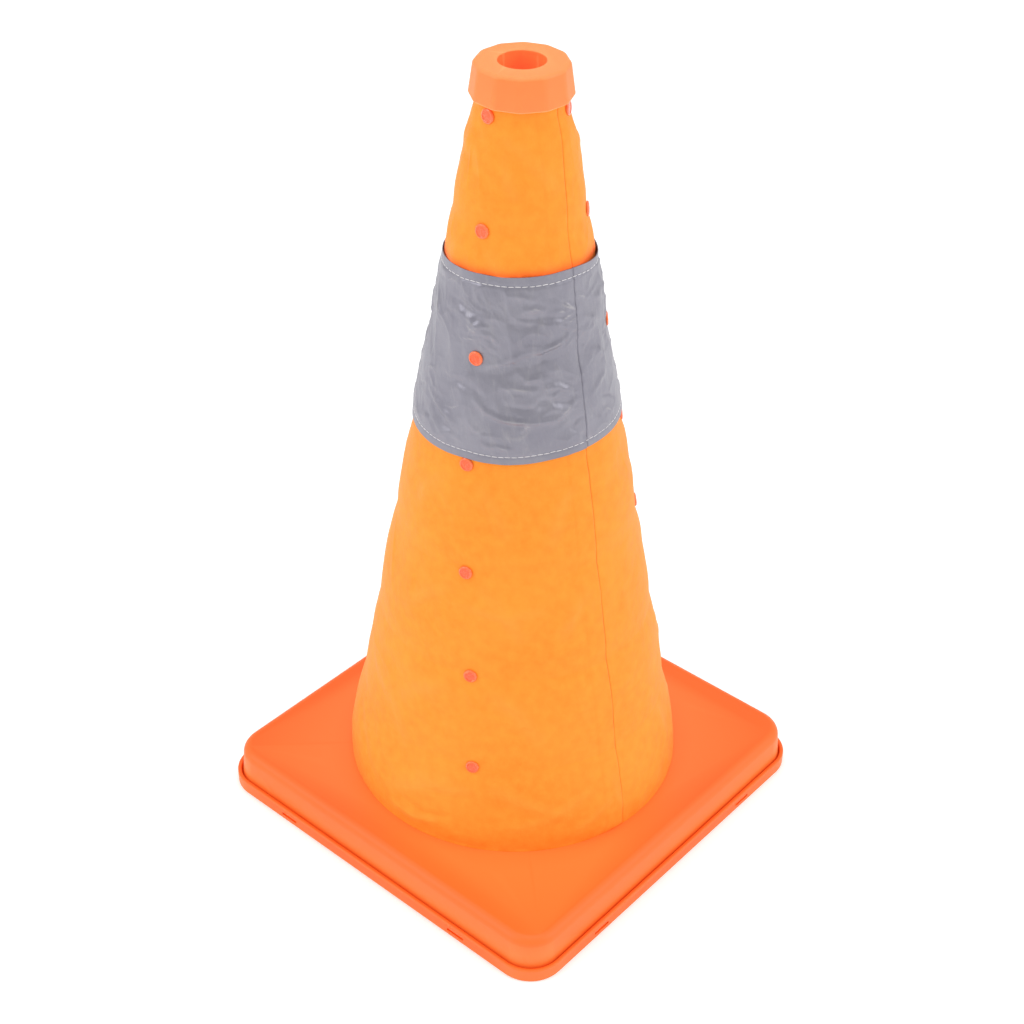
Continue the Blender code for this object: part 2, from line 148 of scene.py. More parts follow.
RINGS = range(1, RING_COUNT + 1)
RIM_RADIUS = {ring: rim_of(ring)[0] for ring in RINGS}
RIM_HEIGHT = {ring: rim_of(ring)[1] for ring in RINGS}
SEATS = {(ring, letter): rivet_seat(ring, letter) for ring in RINGS for letter in "abc"}
ROW_HEIGHT = {ring: SEATS[ring, "a"][0].z for ring in RINGS}
COVER_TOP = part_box("cover_top")[1].z
BASE_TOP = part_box("base_shell")[1].z
BAND_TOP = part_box("band_upper")[1].z
BAND_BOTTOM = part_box("band_lower")[0].z


# ---- hand tools ----
def deselect():
    bpy.ops.object.select_all(action="DESELECT")


def alone(piece):
    """Leaves one piece selected and active, and nothing else."""
    deselect()
    piece.select_set(True)
    bpy.context.view_layer.objects.active = piece


def settle(piece):
    """Moves a piece's place, turn and size into its mesh."""
    alone(piece)
    bpy.ops.object.transform_apply(location=True, rotation=True, scale=True)


@contextlib.contextmanager
def shaping(piece):
    alone(piece)
    bpy.ops.object.mode_set(mode="EDIT")
    bpy.ops.mesh.select_all(action="DESELECT")
    yield
    bpy.ops.object.mode_set(mode="OBJECT")


def choose(kind, test):
    """Selects the corners, edges or faces that pass a test, and nothing else."""
    bpy.ops.mesh.select_mode(type=kind)
    bpy.ops.mesh.select_all(action="DESELECT")
    mesh = bpy.context.edit_object.data
    shape = bmesh.from_edit_mesh(mesh)
    for part in {"VERT": shape.verts, "EDGE": shape.edges, "FACE": shape.faces}[kind]:
        if test(part):
            part.select_set(True)
    shape.select_flush_mode()
    bmesh.update_edit_mesh(mesh)


def lies_at(height):
    return lambda part: all(abs(corner.co.z - height) < 2e-6 for corner in part.verts)


def stands_up(edge):
    return abs(edge.verts[0].co.z - edge.verts[1].co.z) > 0.001


def finish_with(piece, kind, **settings):
    """Adds one modifier and applies it."""
    alone(piece)
    modifier = piece.modifiers.new(kind.title(), kind)
    for name, value in settings.items():
        setattr(modifier, name, value)
    bpy.ops.object.modifier_apply(modifier=modifier.name)


def combine(piece, tool, operation="DIFFERENCE"):
    finish_with(piece, "BOOLEAN", object=tool, operation=operation, solver="EXACT")
    bpy.data.objects.remove(tool, do_unlink=True)


def named(name):
    piece = bpy.context.object
    piece.name = name
    settle(piece)
    return piece


def block(name, low, high, turn=0.0):
    """A box between two corners, turned about the cone's axis."""
    deselect()
    middle = Matrix.Rotation(turn, 3, "Z") @ ((Vector(low) + Vector(high)) / 2.0)
    bpy.ops.mesh.primitive_cube_add(size=1.0, location=middle, rotation=(0.0, 0.0, turn))
    bpy.context.object.scale = Vector(high) - Vector(low)
    return named(name)


def tapered(name, low_radius, high_radius, low, high, sides=FINE_STEPS, turn=0.0):
    """A solid round or many-sided stub on the cone's axis."""
    deselect()
    bpy.ops.mesh.primitive_cone_add(vertices=sides, radius1=low_radius, radius2=high_radius,
                                    depth=high - low, location=(0.0, 0.0, (low + high) / 2.0),
                                    rotation=(0.0, 0.0, turn))
    return named(name)


def bring_in(name, data):
    """A new object in the scene for a mesh, camera or lamp."""
    item = bpy.data.objects.new(name, data)
    bpy.context.scene.collection.objects.link(item)
    return item


def round_off(offset, segments):
    bpy.ops.mesh.bevel(offset=offset, offset_type="OFFSET", segments=segments, affect="EDGES")


def inset(thickness, depth=0.0):
    bpy.ops.mesh.inset(thickness=thickness, depth=depth)


def draw_down(depth):
    """Draws the chosen faces out, straight down."""
    bpy.ops.mesh.extrude_region_move(TRANSFORM_OT_translate={"value": (0.0, 0.0, -depth)})


def smooth(piece, degrees=32.0):
    alone(piece)
    bpy.ops.object.shade_smooth_by_angle(angle=math.radians(degrees))
    finish_with(piece, "WEIGHTED_NORMAL", keep_sharp=True)


# ---- base ----
def moulded_block(name, side, low, high, corner, edge_round, draft):
    """A square block with round upright corners and a round top edge."""
    half = side / 2.0
    piece = block(name, (-half, -half, low), (half, half, high))
    shrink = 1.0 - 2.0 * draft / side
    with shaping(piece):
        choose("FACE", lambda face: face.normal.z > 0.9)
        bpy.ops.transform.resize(value=(shrink, shrink, 1.0))
        choose("EDGE", stands_up)
        round_off(corner, 14)
        choose("EDGE", lies_at(high))
        round_off(edge_round, 8)
    return piece


def shell_moulding():
    """The upper half of the base: thin walled, open below, with its tabs and hooks."""
    low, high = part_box("base_shell")
    foot = low.z
    shell = moulded_block("base_upper_moulding", SHELL_SIDE, foot, high.z, SHELL_CORNER,
                          SHELL_EDGE, SHELL_DRAFT)
    with shaping(shell):
        choose("FACE", lies_at(foot))
        bpy.ops.mesh.delete(type="FACE")
    finish_with(shell, "SOLIDIFY", thickness=SHELL_WALL, offset=-1.0, use_even_offset=True)
    combine(shell, tapered("opening", OPENING_RADIUS, OPENING_RADIUS, 0.015, 0.040, 128))
    for side in range(4):
        for offset in TAB_PLACES:
            tab = block("tab", (offset - TAB_HALF, -0.1236, 0.0035),
                        (offset + TAB_HALF, -0.1198, 0.0045), side * math.pi / 2.0)
            combine(shell, tab, "UNION")
    for place in range(HOOKS):
        turn = place * 2.0 * math.pi / HOOKS
        combine(shell, block("post", (0.1064, -0.004, 0.0200), (0.1084, 0.004, 0.0258), turn),
                "UNION")
        combine(shell, block("barb", (0.1045, -0.003, 0.0201), (0.1080, 0.003, 0.0212), turn),
                "UNION")
    smooth(shell)
    return shell


def tray_moulding():
    """The lower half of the base: a flat tray whose lip stands round the shell's foot."""
    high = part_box("base_tray")[1]
    lip_top = high.z
    half = high.x
    tray = block("base_lower_moulding", (-half, -half, 0.0), (half, half, lip_top))
    with shaping(tray):
        choose("EDGE", stands_up)
        round_off(TRAY_CORNER, 16)
        choose("FACE", lies_at(lip_top))
        inset(TRAY_LIP)
        draw_down(TRAY_DEPTH)
        choose("EDGE", lies_at(lip_top))
        round_off(TRAY_EDGE, 4)
        choose("EDGE", lies_at(0.0))
        round_off(TRAY_EDGE, 3)
    for side in range(4):
        for offset in TAB_PLACES:
            combine(tray, block("slot", (offset - SLOT_HALF, -half - 0.002, 0.0031),
                                (offset + SLOT_HALF, -half + TRAY_LIP + 0.001, 0.0049),
                                side * math.pi / 2.0))
    smooth(tray)
    return tray


# ---- rings and cap ----
def flanged_tube(name, rim_radius, rim, foot, slope, flange_radius):
    """A tapered tube with an inward lip at the top and an outward flange at the foot."""
    flange_top = foot + RING_WALL
    foot_radius = rim_radius + slope * (rim - flange_top)
    tube = tapered(name, foot_radius, rim_radius, flange_top, rim)
    with shaping(tube):
        choose("FACE", lies_at(rim))
        inset(LIP_REACH)
        bpy.ops.mesh.delete(type="FACE")
        choose("FACE", lies_at(flange_top))
        bpy.ops.mesh.delete(type="FACE")
        choose("EDGE", lies_at(flange_top))
        bpy.ops.mesh.extrude_edges_move()
        grow = flange_radius / foot_radius
        bpy.ops.transform.resize(value=(grow, grow, 1.0))
    finish_with(tube, "SOLIDIFY", thickness=RING_WALL, offset=-1.0, use_even_offset=True)
    finish_with(tube, "BEVEL", width=0.0004, segments=2, limit_method="ANGLE",
                angle_limit=math.radians(50.0))
    return tube


def telescoping_ring(ring):
    low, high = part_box("ring_%d" % ring)
    tube = flanged_tube("telescoping_ring_%d" % ring, RIM_RADIUS[ring], high.z, low.z, DRAFT,
                        high.x)
    for letter in "abc":
        seat, facing = SEATS[ring, letter]
        deselect()
        bpy.ops.mesh.primitive_cylinder_add(vertices=20, radius=RIVET_HOLE_RADIUS, depth=0.012,
                                            location=seat,
                                            rotation=facing.to_track_quat("Z", "Y").to_euler())
        combine(tube, named("rivet_hole"))
    smooth(tube)
    return tube


def hem_clamp():
    """The ring under the base's opening that stops the lowest ring and traps the hem."""
    low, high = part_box("retaining_ring")
    tube = flanged_tube("hem_clamp_ring", CLAMP_RADIUS, high.z, low.z, 0.0, high.x)
    smooth(tube)
    return tube


def faceted_cap():
    """Thick soft cap with twelve sides, a round hole and a hollow over the top ring."""
    low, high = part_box("cap")
    top, bottom = high.z, low.z
    cap = tapered("twelve_sided_cap", CAP_FOOT_RADIUS, CAP_TOP_RADIUS, bottom, top, CAP_SIDES,
                  math.radians(CAP_TURN))
    with shaping(cap):
        choose("EDGE", stands_up)
        round_off(0.0017, 5)
        choose("EDGE", lies_at(top))
        round_off(0.0019, 6)
        choose("EDGE", lies_at(bottom))
        round_off(0.0007, 4)
    hollow = tapered("hollow", 0.0232, 0.0213, bottom - 0.001, top - CAP_TOP_THICK, 64)
    combine(hollow, tapered("sleeve", CAP_SLEEVE_RADIUS, CAP_SLEEVE_RADIUS, 0.446, top, 64))
    combine(cap, hollow)
    combine(cap, tapered("hole", CAP_HOLE_RADIUS, CAP_HOLE_RADIUS, 0.440, top + 0.004, 64))
    finish_with(cap, "BEVEL", width=0.0005, segments=3, limit_method="ANGLE",
                angle_limit=math.radians(60.0))
    smooth(cap)
    # painted highlight: a pale line round the outside of the cap's lowest 0.6 mm
    scuffs_and_painted_highlight = cap.data.attributes.new("painted_light_and_shade", "FLOAT", "POINT")
    for corner, mark in zip(cap.data.vertices, scuffs_and_painted_highlight.data):
        if corner.co.z < bottom + 0.0006 and corner.co.xy.length > CAP_TOP_RADIUS:
            mark.value = 1.0
    return cap


# ---- rivets ----
def rivet_pattern():
    """One snap rivet at the origin, its head along +Z: a raised rim round a shallow dish."""
    top = HEAD_UNDER + HEAD_HEIGHT
    rivet = tapered("rivet_pattern", HEAD_RADIUS, HEAD_RADIUS, HEAD_UNDER, top, 28)
    with shaping(rivet):
        choose("FACE", lies_at(top))
        inset(0.0010)
        inset(0.0004, -0.0003)
        inset(0.0009, 0.00008)
        inset(0.0009, 0.00004)
        choose("EDGE", lambda edge: lies_at(top)(edge)
               and all(corner.co.xy.length > HEAD_RADIUS - 0.0002 for corner in edge.verts))
        round_off(0.0008, 4)
        choose("EDGE", lies_at(HEAD_UNDER))
        round_off(0.0002, 2)
        choose("FACE", lambda face: len(face.verts) > 8 and face.normal.z < -0.9)
        inset(HEAD_RADIUS - 0.0002 - SHANK_RADIUS)
        draw_down(HEAD_UNDER + TAIL_START)
        bpy.ops.mesh.extrude_region_move()
        bpy.ops.transform.resize(value=(TAIL_FLARE, TAIL_FLARE, 1.0))
        draw_down(TAIL_HEIGHT)
        bpy.ops.mesh.select_all(action="SELECT")
        bpy.ops.mesh.normals_make_consistent(inside=False)
    smooth(rivet, 40.0)
    return rivet


def set_rivet(pattern, ring, letter):
    """A copy of the pattern on its seat. A rivet through the band has a longer shank."""
    mesh = pattern.data.copy()
    rivet = bring_in("snap_rivet_%d_%s" % (ring, letter), mesh)
    if ring == BAND_ROW:
        for corner in mesh.vertices:
            if corner.co.z > 0.0:
                corner.co.z += BAND_LIFT
    seat, facing = SEATS[ring, letter]
    mesh.transform(Matrix.Translation(seat) @ facing.to_track_quat("Z", "Y").to_matrix().to_4x4())
    return rivet


# ---- cloth ----
def drape_corners():
    """Radius and height of the taut cloth from the collar down to the base's opening."""
    corners = [(RIM_RADIUS[1] + DRAFT * (RIM_HEIGHT[1] - COVER_TOP), COVER_TOP)]
    for ring in RINGS:
        if ring > 1:
            corners.append((RIM_RADIUS[ring], RIM_HEIGHT[ring]))
        corners.append((SEATS[ring, "a"][0].xy.length, ROW_HEIGHT[ring]))
    corners.append((CLAMP_RADIUS, BASE_TOP + 0.0003))
    return np.array(corners)


DRAPE = drape_corners()
EASE = np.linspace(-0.0025, 0.0025, 9)


def taut_radius(height):
    """The taut line's radius, eased over a few millimetres at each rim."""
    height = np.asarray(height)
    near = [np.interp(-(height + step), -DRAPE[:, 1], DRAPE[:, 0]) for step in EASE]
    return sum(near) / len(near)


def wrapped(angle):
    return (angle + math.pi) % (2.0 * math.pi) - math.pi


SEAM_HEIGHTS = (0.0, 0.265, 0.335, 0.365, 0.395, 0.440)
SEAM_DEGREES = (-8.3, -8.2, -7.3, -5.8, -4.4, 0.0)


def seam_turn(height):
    return np.radians(np.interp(height, SEAM_HEIGHTS, SEAM_DEGREES))


def ramp(distance, width):
    """A smooth step from 0 to 1 as the distance goes from minus to plus."""
    return 1.0 / (1.0 + np.exp(-distance / width))


def bell(distance, width):
    return np.exp(-(distance / width) ** 2)


def column_turns():
    """Turns round the cone from the seam, closer together near it."""
    even = np.linspace(-math.pi, math.pi, 20001)
    density = 1.0 + 6.0 * bell(even, 0.022) + 1.6 * bell(even + 0.17, 0.06)
    share = np.concatenate(([0.0], np.cumsum((density[1:] + density[:-1]) / 2.0)))
    return np.interp(np.linspace(0.0, share[-1], COLUMNS + 1), share, even)[:-1]


FROM_SEAM = column_turns()


def ripple(turn, height, round_count, tall, seed):
    """Smooth random swells between -1 and 1 that close round the cone."""
    rows = int(0.47 / tall) + 3
    lattice = np.random.default_rng(seed).uniform(-1.0, 1.0, (rows, round_count))
    across = (turn / (2.0 * math.pi)) % 1.0 * round_count
    up = height / tall
    column = np.floor(across).astype(int)
    row = np.floor(up).astype(int)
    a = across - column
    b = up - row
    a = a * a * (3.0 - 2.0 * a)
    b = b * b * (3.0 - 2.0 * b)
    left = column % round_count
    right = (column + 1) % round_count
    lower = lattice[row, left] * (1.0 - a) + lattice[row, right] * a
    upper = lattice[row + 1, left] * (1.0 - a) + lattice[row + 1, right] * a
    return lower * (1.0 - b) + upper * b


def crease(turn, height, path, width):
    """1 on a fold through points of (degrees, millimetres up), 0 a few widths away."""
    points = [(math.radians(degrees), up / 1000.0) for degrees, up in path]
    middle = sum(up for _, up in points) / len(points)
    radius = float(taut_radius(middle))
    start_turn = points[0][0]
    across = wrapped(turn - start_turn) * radius
    spots = [(wrapped(angle - start_turn) * radius, up) for angle, up in points]
    total = sum(math.dist(a, b) for a, b in zip(spots, spots[1:]))
    best = np.zeros(np.broadcast(turn, height).shape)
    gone = 0.0
    for (x0, z0), (x1, z1) in zip(spots, spots[1:]):
        length = math.dist((x0, z0), (x1, z1))
        along = ((across - x0) * (x1 - x0) + (height - z0) * (z1 - z0)) / length ** 2
        along = np.clip(along, 0.0, 1.0)
        away = np.hypot(across - x0 - along * (x1 - x0), height - z0 - along * (z1 - z0))
        place = (gone + along * length) / total
        fade = np.clip(4.0 * place * (1.0 - place), 0.0, 1.0) ** 0.6
        best = np.maximum(best, fade * bell(away, width))
        gone += length
    return best


def slackness(height):
    """0 where a ring's rim or a rivet row holds the cloth in, up to 1 where it hangs free."""
    free = np.zeros_like(height)
    for ring in RINGS[:-1]:
        top, bottom = ROW_HEIGHT[ring], RIM_HEIGHT[ring + 1]
        share = np.clip((top - height) / (top - bottom), 0.0, 1.0)
        free = np.maximum(free, np.sin(math.pi * share ** 0.75) ** 1.3)
    lowest = ROW_HEIGHT[RING_COUNT]
    share = np.clip((lowest - height) / (lowest - BASE_TOP - 0.002), 0.0, 1.0)
    return np.maximum(free, np.sin(math.pi * share ** 0.8) ** 0.9)


BULGE_HEIGHTS = (0.0, 0.027, 0.034, 0.042, 0.052, 0.064, 0.076, 0.150, 0.330, 0.350, 0.400, 0.425,
                 0.460)
BULGE_OUT = (0.0, 0.0004, 0.0013, 0.0019, 0.0020, 0.0013, 0.0003, 0.0001, 0.0002, 0.0004, 0.0006,
             0.0009, 0.0)

def folds(*rows):
    """Fold marks. A row is degrees and millimetres up for each point, half width and rise."""
    return tuple((tuple(zip(row[:-2:2], row[1:-2:2])), row[-2] / 1000.0, row[-1] / 1000.0)
                 for row in rows)


COVER_FOLDS = folds(
    (-84, 423, -54, 416, -32, 407, 3.0, -0.45),
    (-72, 428, -50, 424, -30, 414, 2.6, 0.4),
    (-66, 421, -59, 405, -52, 398, 2.8, 0.4),
    (-130, 424, -103, 418, -88, 408, 3.0, 0.5),
    (-40, 419, -22, 408, -12, 400, 3.0, 0.35),
    (-76, 374, -62, 362, -56, 350, 3.2, 0.35),
    (-100, 376, -112, 362, -118, 350, 3.4, 0.4),
    (-30, 372, -22, 356, -18, 344, 3.0, 0.3),
    (-84, 254, -98, 240, -108, 222, 3.8, 0.45),
    (-70, 252, -60, 238, -52, 220, 3.8, 0.35),
    (-20, 248, -28, 232, -33, 214, 4.0, 0.35),
    (-78, 190, -92, 178, -104, 160, 4.0, 0.45),
    (-66, 192, -54, 180, -45, 160, 4.0, 0.35),
    (-70, 179, -52, 177, -35, 180, 3.0, 0.3),
    (-14, 188, -24, 172, -30, 158, 4.0, 0.35),
    (-74, 130, -90, 118, -103, 98, 4.2, 0.5),
    (-60, 131, -48, 118, -38, 96, 4.2, 0.4),
    (-127, 112, -100, 98, -91, 74, 4.6, 0.6),
    (-86, 115, -78, 104, -74, 92, 3.8, -0.35),
    (-86, 66, -74, 62, -62, 66, 3.2, 0.45),
    (-70, 70, -84, 58, -100, 42, 4.4, 0.7),
    (-58, 70, -44, 58, -28, 46, 4.4, 0.6),
    (-129, 70, -116, 56, -104, 40, 4.6, -0.7),
    (12, 96, 20, 76, 24, 52, 5.0, 0.7),
    (-20, 62, -36, 48, -52, 40, 3.6, 0.45),
    (34, 128, 44, 110, 50, 96, 4.6, 0.5),
    (-96, 36, -84, 35, -74, 40, 2.2, 1.1),
    (-92, 44, -80, 40, -70, 46, 2.2, -0.8),
    (-30, 34, -20, 42, -12, 52, 2.6, 0.6),
    (-8, 34, -10, 50, -12, 66, 2.4, 0.45),
)

BAND_FOLDS = folds(
    (-105, 344, -88, 343, -76, 339, 1.9, -0.8),
    (-108, 337, -99, 336, -90, 332, 1.7, -0.5),
    (-96, 341, -80, 335, -68, 330, 2.0, 0.6),
    (-47, 345, -38, 346, -30, 344, 1.4, 0.7),
    (-57, 338, -46, 337, -36, 338, 1.8, -0.6),
    (-71, 330, -66, 327, -62, 325, 1.6, -0.6),
    (-54, 341, -38, 341, -24, 340, -10, 336, 1.6, -0.6),
    (-39, 322, -28, 325, -20, 327, -14, 329, 1.5, 0.9),
    (-102, 301, -85, 302, -76, 301, -68, 297, 2.1, -0.9),
    (-76, 297, -67, 291, -56, 288, -41, 287, -28, 287, -22, 288, 1.4, 1.0),
    (-81, 310, -64, 312, -46, 318, -28, 321, -14, 322, 2.4, -1.0),
    (-76, 314, -60, 316, -46, 322, -30, 326, 2.4, 0.6),
    (-46, 308, -40, 309, -34, 311, 1.3, 0.7),
    (-38, 298, -27, 296, -16, 293, 1.8, -0.8),
    (-34, 304, -24, 304, -15, 299, 1.5, 0.8),
    (-107, 285, -92, 277, -83, 274, 1.9, -0.7),
    (-117, 279, -106, 275, -96, 271, 1.8, -0.6),
    (-112, 291, -98, 284, -84, 279, 2.0, 0.7),
    (-4, 287, 0, 283, 4, 279, 1.6, -0.8),
    (24, 350, 31, 344, 34, 334, 2.2, 0.9),
    (-2, 293, 8, 297, 18, 300, 1.8, 0.7),
    (-69, 272, -60, 273, -50, 272, 1.3, 0.5),
    (-20, 283, -14, 277, -8, 272, 1.5, -0.6),
    (-60, 353, -48, 352, -36, 350, 1.6, 0.5),
    (-97, 336, -94, 328, -91, 322, 1.8, -0.5),
    (12, 330, 20, 322, 26, 310, 2.2, -0.8),
    (4, 316, 12, 312, 22, 306, 1.8, 0.7),
    (-130, 330, -124, 318, -116, 306, 2.4, -0.8),
    (-126, 344, -118, 336, -112, 326, 2.2, 0.8),
    (-60, 306, -48, 304, -36, 303, 1.6, 0.6),
    (-58, 296, -46, 294, -34, 292, 1.5, -0.5),
)


FIRST_DRAWN_ANGLE = 38.0
LAST_DRAWN_ANGLE = 222.0


def drawn_folds(count, low, high, width, rise, seed, start=FIRST_DRAWN_ANGLE, shrink=1.0):
    """More folds of the same kind between an angle and the last one, by a fixed draw."""
    draw = np.random.default_rng(seed)
    drawn = []
    for _ in range(count):
        angle = draw.uniform(start, LAST_DRAWN_ANGLE)
        up = draw.uniform(low, high)
        lean = draw.choice((-1.0, 1.0)) * draw.uniform(0.4, 1.4)
        reach = draw.uniform(9.0, 19.0) * shrink
        bend = draw.uniform(-3.0, 3.0)
        radius = 1000.0 * float(taut_radius(up / 1000.0))
        swing = math.degrees(reach / radius)
        path = ((angle - swing, up + lean * reach * 0.5), (angle, up + bend),
                (angle + swing, up - lean * reach * 0.5))
        size = draw.uniform(0.7, 1.2)
        drawn.append((path, width * size, rise * size * draw.choice((-1.0, 1.0, 1.0))))
    return tuple(drawn)


COVER_BACK = (drawn_folds(34, 40.0, 250.0, 0.0042, 0.00050, 11)
              + drawn_folds(10, 365.0, 425.0, 0.0030, 0.00040, 12))
BAND_BACK = drawn_folds(46, 268.0, 353.0, 0.0020, 0.0006, 13)
BAND_SCORES = drawn_folds(150, 268.0, 354.0, 0.0011, 0.00035, 14, -140.0, 0.45)


def rivet_distance(turn, height, rows):
    """How far each point of the cloth is from the nearest rivet of those rows."""
    nearest = np.full(np.broadcast(turn, height).shape, 1.0)
    for (ring, _), (seat, _) in SEATS.items():
        if ring in rows:
            angle = math.atan2(seat.y, seat.x)
            away = np.hypot(wrapped(turn - angle) * seat.xy.length, height - seat.z)
            nearest = np.minimum(nearest, away)
    return nearest


def seam_relief(arc, allowance):
    """The seam's relief, its line, and the far edge of the turned-in allowance; the line and the
    edge serve as painted shade masks.
    """
    doubled = ramp(arc + allowance, 0.0006) * ramp(-arc - 0.0003, 0.0002)
    line = bell(arc + 0.0002, 0.00045)
    return SEAM_STEP * doubled - SEAM_DEPTH * line, line, bell(arc + allowance, 0.0008)


def crumple(turn, height, count, tall, seed):
    """Thin wandering ridges, 0 to 1, like those of cloth that has been crushed."""
    bent_turn = turn + 0.10 * ripple(turn, height, count // 2, tall * 2.0, seed + 1)
    bent_height = height + 0.5 * tall * ripple(turn, height, count // 2, tall * 2.0, seed + 2)
    return 1.0 - np.abs(ripple(bent_turn + 5.0 * bent_height, bent_height, count, tall, seed))


def cover_relief(turn, height, from_seam):
    """How far the cover stands off the taut line, with its seam and its folds; also a painted
    highlight mask on the fold ridges and a painted shade mask for the seam.
    """
    radius = taut_radius(height)
    slack = slackness(height)
    swell = np.interp(height, BULGE_HEIGHTS, BULGE_OUT)
    out = swell * (0.75 + 0.5 * ripple(turn, height, 9, 0.055, 21))
    out = out + slack * (0.00060 + 0.00080 * ripple(turn, height, 13, 0.027, 22)
                         + 0.00040 * ripple(turn, height, 31, 0.012, 23))
    out = out + slack * 0.00050 * crumple(turn, height, 17, 0.026, 26) ** 5
    out = out + 0.00014 * ripple(turn, height, 44, 0.007, 24)
    pucker = bell(height - 0.033, 0.009)
    out = out + 0.00050 * pucker * ripple(turn, height, 64, 0.020, 27)
    painted_light_and_shade = np.zeros_like(out)
    for path, width, rise in COVER_FOLDS + COVER_BACK:
        fold = crease(turn, height, path, width)
        out = out + 1.5 * rise * fold * (0.35 + 0.65 * slack)
        # painted highlight mask on the fold's ridge
        painted_light_and_shade = np.maximum(painted_light_and_shade, fold * np.sign(rise))
    under_band = (ramp(BAND_TOP - BAND_EDGE - height, 0.001)
                  * ramp(height - BAND_BOTTOM - BAND_EDGE, 0.001))
    out = out * (1.0 - 0.85 * under_band)
    held = bell(rivet_distance(turn, height, RINGS), 0.0065)
    out = np.maximum(out, 0.0) * (1.0 - held)
    collar = np.clip((height - 0.432) / 0.004, 0.0, 1.0)
    out = np.minimum(out, 0.0025 - 0.0022 * collar)
    seam, line, edge = seam_relief(from_seam * radius, COVER_ALLOWANCE)
    broken = 0.55 + 0.45 * ripple(turn, height, 12, 0.009, 25)
    # painted shade mask: the broken seam line and faintly the allowance's edge
    return out + seam * (1.0 - under_band), painted_light_and_shade, np.maximum(line * broken, 0.07 * edge)


def band_relief(turn, height, from_seam, even):
    """How far the band stands off the taut cloth under it, creased more sharply, with painted
    highlights on crease ridges and painted shade in crease hollows, seam and stitches.
    Its hems and stitches follow the even rows that the band had before it was sewn on."""
    radius = taut_radius(height)
    slack = slackness(height)
    out = 0.00015 + slack * (0.0002 + 0.0004 * ripple(turn, height, 15, 0.024, 31))
    out = out + 0.00016 * ripple(turn, height, 34, 0.011, 32)
    broad = crumple(turn, height, 22, 0.019, 33)
    fine = crumple(turn, height, 54, 0.008, 43)
    out = out + 0.00062 * broad ** 4 + 0.00024 * fine ** 3
    patchy = 0.5 + 0.5 * ripple(turn, height, 40, 0.010, 35)
    # painted highlight on the crumples' ridges
    painted_light_and_shade = 0.45 * patchy * (broad ** 14 + 0.5 * fine ** 10)
    for path, width, rise in BAND_FOLDS + BAND_BACK + BAND_SCORES:
        fold = crease(turn, height, path, width)
        out = out + rise * 1.1 * fold
        # painted highlight on fold ridges, painted shade in fold hollows
        if rise > 0.0:
            painted_light_and_shade = np.maximum(painted_light_and_shade, patchy * fold ** 5)
        else:
            painted_light_and_shade = painted_light_and_shade - 0.9 * fold ** 1.5
    held = bell(rivet_distance(turn, height, (BAND_ROW,)), 0.0060)
    out = np.maximum(out, 0.0) * (1.0 - 0.9 * held)
    from_top = BAND_TOP - even
    from_bottom = even - BAND_BOTTOM
    stitched = np.clip(bell(from_top - UPPER_STITCHES, 0.0007)
                       + bell(from_bottom - LOWER_STITCHES, 0.0007), 0.0, 1.0)
    hem = (ramp(UPPER_STITCHES - from_top, 0.0003)
           + ramp(LOWER_STITCHES - from_bottom, 0.0003))
    stand = 0.0003 + FLARE * bell(wrapped(turn - math.radians(FLARE_DEGREES)), FLARE_WIDTH)
    lift = stand * np.clip(1.0 - from_top / 0.013, 0.0, 1.0) ** 1.5
    lift = lift + 0.0004 * np.clip(1.0 - from_bottom / 0.008, 0.0, 1.0) ** 2
    out = out * (1.0 - 0.6 * stitched) * (1.0 - 0.8 * hem) + 0.00026 * hem + lift
    out = out - 0.00012 * stitched
    seam, line = seam_relief(from_seam * radius, BAND_ALLOWANCE)[:2]
    # painted shade mask: the seam line and the stitch grooves
    return out + seam, np.clip(painted_light_and_shade, -1.0, 1.0), np.maximum(line, 0.30 * stitched)


TOP_EDGE_DEGREES = (-180, -150, -120, -105, -91, -80, -62, -44, -26, -14, 0, 12, 40, 90, 150)
TOP_EDGE_RISE = (-5.4, -4.8, -3.4, -2.7, -2.1, -1.4, -1.1, -0.6, -0.4, 0.0, -0.4, -1.2, -2.4,
                 -4.4, -5.8)
FOOT_DEGREES = (-180, -150, -120, -104, -84, -77, -70, -57, -44, -31, -17, 0, 30, 90, 150, 165)
FOOT_RISE = (-0.4, -1.6, -2.0, -1.8, -0.8, -0.3, -0.5, -0.2, 0.6, 1.7, 2.3, 2.8, 2.4, 0.8, -0.2,
             -0.2)


def band_level(turn, even):
    """The band is sewn on a little askew: its rows spread to meet both uneven edges."""
    middle = ROW_HEIGHT[BAND_ROW]
    top = np.interp(np.degrees(turn), TOP_EDGE_DEGREES, TOP_EDGE_RISE, period=360.0) / 1000.0
    foot = np.interp(np.degrees(turn), FOOT_DEGREES, FOOT_RISE, period=360.0) / 1000.0
    share = (even - middle) / (BAND_TOP - middle)
    below = (middle - even) / (middle - BAND_BOTTOM)
    return even + np.where(even > middle, top * share, foot * below)


# the flat fan that the loops are cut from: the height of its point, and its slope
APEX = 0.572
FAN_SINE = 0.1753
FAN_COSINE = 0.9845


